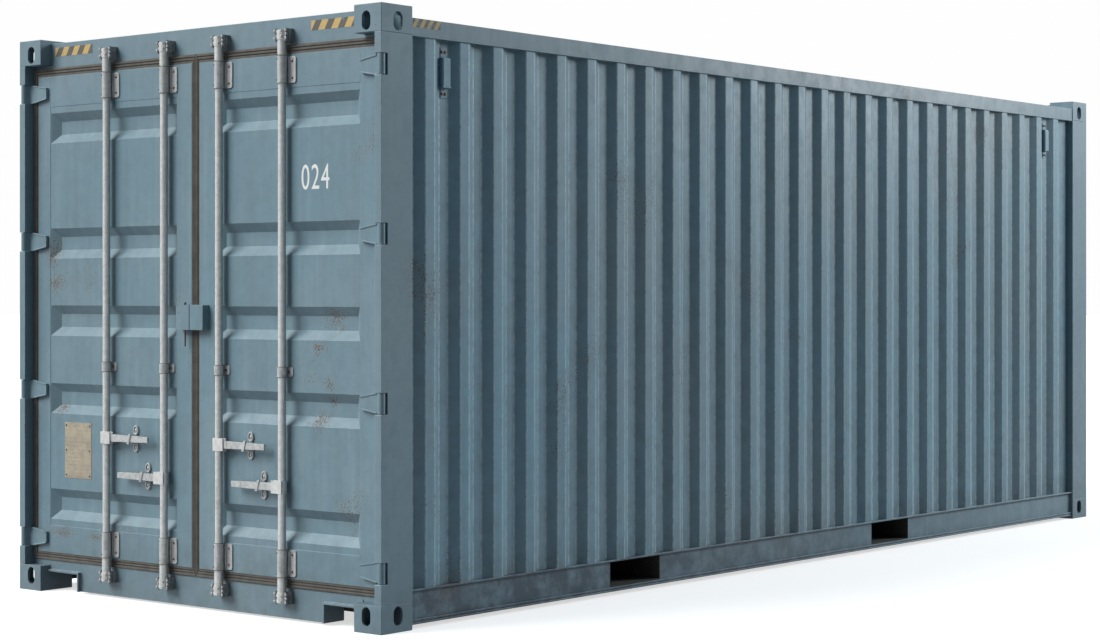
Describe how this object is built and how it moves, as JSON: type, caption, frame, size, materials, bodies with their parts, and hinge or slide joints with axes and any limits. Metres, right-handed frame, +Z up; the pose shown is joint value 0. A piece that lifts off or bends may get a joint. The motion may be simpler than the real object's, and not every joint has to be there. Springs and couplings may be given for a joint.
{
  "type": "standard twenty-foot shipping container",
  "caption": "Dry box container with hinged double doors, lock rods and handles at one end, corrugated walls and roof, and fork pockets in its base.",
  "frame": {"origin": "on the ground under the middle of the container", "axes": "+Z up, +Y along the length from the door end to the closed end, +X to the right of a person facing the doors"},
  "size_m": [2.438, 6.058, 2.591],
  "materials": {
    "container_paint": "satin blue-grey paint with rust specks",
    "galvanised_steel": "weathered hot-dip galvanising",
    "gasket_rubber": "dusty ribbed rubber",
    "floor_plywood": "oiled hardwood plywood",
    "plate_metal": "dull beige plate, blank"
  },
  "bodies": {
    "root": {"corner_castings_bottom_right": "container_paint", "corner_castings_bottom_left": "container_paint", "corner_castings_top": "container_paint", "sill_ends": "container_paint", "door_post_left": "container_paint", "door_post_right": "container_paint", "end_post_left": "container_paint", "end_post_right": "container_paint", "door_header": "container_paint", "door_sill": "container_paint", "end_rail_top": "container_paint", "end_rail_bottom": "container_paint", "top_side_rail_left": "container_paint", "top_side_rail_right": "container_paint", "side_rail_flange_left": "container_paint", "side_rail_flange_right": "container_paint", "side_rail_web_left": "container_paint", "side_rail_web_right": "container_paint", "side_rail_foot_left": "container_paint", "side_rail_foot_right": "container_paint", "side_wall_left": "container_paint", "side_wall_right": "container_paint", "end_wall": "container_paint", "roof_panel": "container_paint", "floor_boards": "floor_plywood", "cross_members": "container_paint", "fork_pocket_sides": "container_paint", "fork_pocket_plates": "container_paint", "vent_covers": "container_paint", "hinge_pins": "galvanised_steel", "cam_keepers": "galvanised_steel"},
    "door_left": {"door_left_stiles": "container_paint", "door_left_rails": "container_paint", "door_left_panel": "container_paint", "door_left_gasket": "gasket_rubber", "door_left_hinge_blades": "container_paint", "door_left_rod_brackets": "galvanised_steel", "door_left_catches": "galvanised_steel", "lock_box_left": "container_paint", "lock_pin": "galvanised_steel", "data_plate": "plate_metal"},
    "door_right": {"door_right_stiles": "container_paint", "door_right_rails": "container_paint", "door_right_panel": "container_paint", "door_right_gasket": "gasket_rubber", "door_right_hinge_blades": "container_paint", "door_right_rod_brackets": "galvanised_steel", "door_right_catches": "galvanised_steel", "lock_box_right": "container_paint"},
    "lock_rod_1": {"lock_rod_1": "galvanised_steel"},
    "handle_1": {"handle_1": "galvanised_steel"},
    "lock_rod_2": {"lock_rod_2": "galvanised_steel"},
    "handle_2": {"handle_2": "galvanised_steel"},
    "lock_rod_3": {"lock_rod_3": "galvanised_steel"},
    "handle_3": {"handle_3": "galvanised_steel"},
    "lock_rod_4": {"lock_rod_4": "galvanised_steel"},
    "handle_4": {"handle_4": "galvanised_steel"}
  },
  "joints": [
    {"name": "door_left_swing", "type": "hinge", "parent": "root", "child": "door_left", "pos_m": [-1.203, -3.013, 1.2945], "axis": [0, 0, -1], "range_deg": [0, 265]},
    {"name": "door_right_swing", "type": "hinge", "parent": "root", "child": "door_right", "pos_m": [1.203, -3.013, 1.2945], "axis": [0, 0, 1], "range_deg": [0, 265]},
    {"name": "lock_rod_1_turn", "type": "hinge", "parent": "door_left", "child": "lock_rod_1", "pos_m": [-0.594, -3.007, 0.73932], "axis": [0, 0, 1], "range_deg": [-100, 0]},
    {"name": "handle_1_lift", "type": "hinge", "parent": "lock_rod_1", "child": "handle_1", "pos_m": [-0.56, -3.0167, 0.73932], "axis": [0, -1, 0], "range_deg": [0, 15]},
    {"name": "lock_rod_2_turn", "type": "hinge", "parent": "door_left", "child": "lock_rod_2", "pos_m": [-0.186, -3.007, 0.57268], "axis": [0, 0, -1], "range_deg": [-100, 0]},
    {"name": "handle_2_lift", "type": "hinge", "parent": "lock_rod_2", "child": "handle_2", "pos_m": [-0.22, -3.0167, 0.57268], "axis": [0, 1, 0], "range_deg": [0, 15]},
    {"name": "lock_rod_3_turn", "type": "hinge", "parent": "door_right", "child": "lock_rod_3", "pos_m": [0.186, -3.007, 0.73932], "axis": [0, 0, 1], "range_deg": [-100, 0]},
    {"name": "handle_3_lift", "type": "hinge", "parent": "lock_rod_3", "child": "handle_3", "pos_m": [0.22, -3.0167, 0.73932], "axis": [0, -1, 0], "range_deg": [0, 15]},
    {"name": "lock_rod_4_turn", "type": "hinge", "parent": "door_right", "child": "lock_rod_4", "pos_m": [0.594, -3.007, 0.57268], "axis": [0, 0, -1], "range_deg": [-100, 0]},
    {"name": "handle_4_lift", "type": "hinge", "parent": "lock_rod_4", "child": "handle_4", "pos_m": [0.56, -3.0167, 0.57268], "axis": [0, 1, 0], "range_deg": [0, 15]}
  ]
}
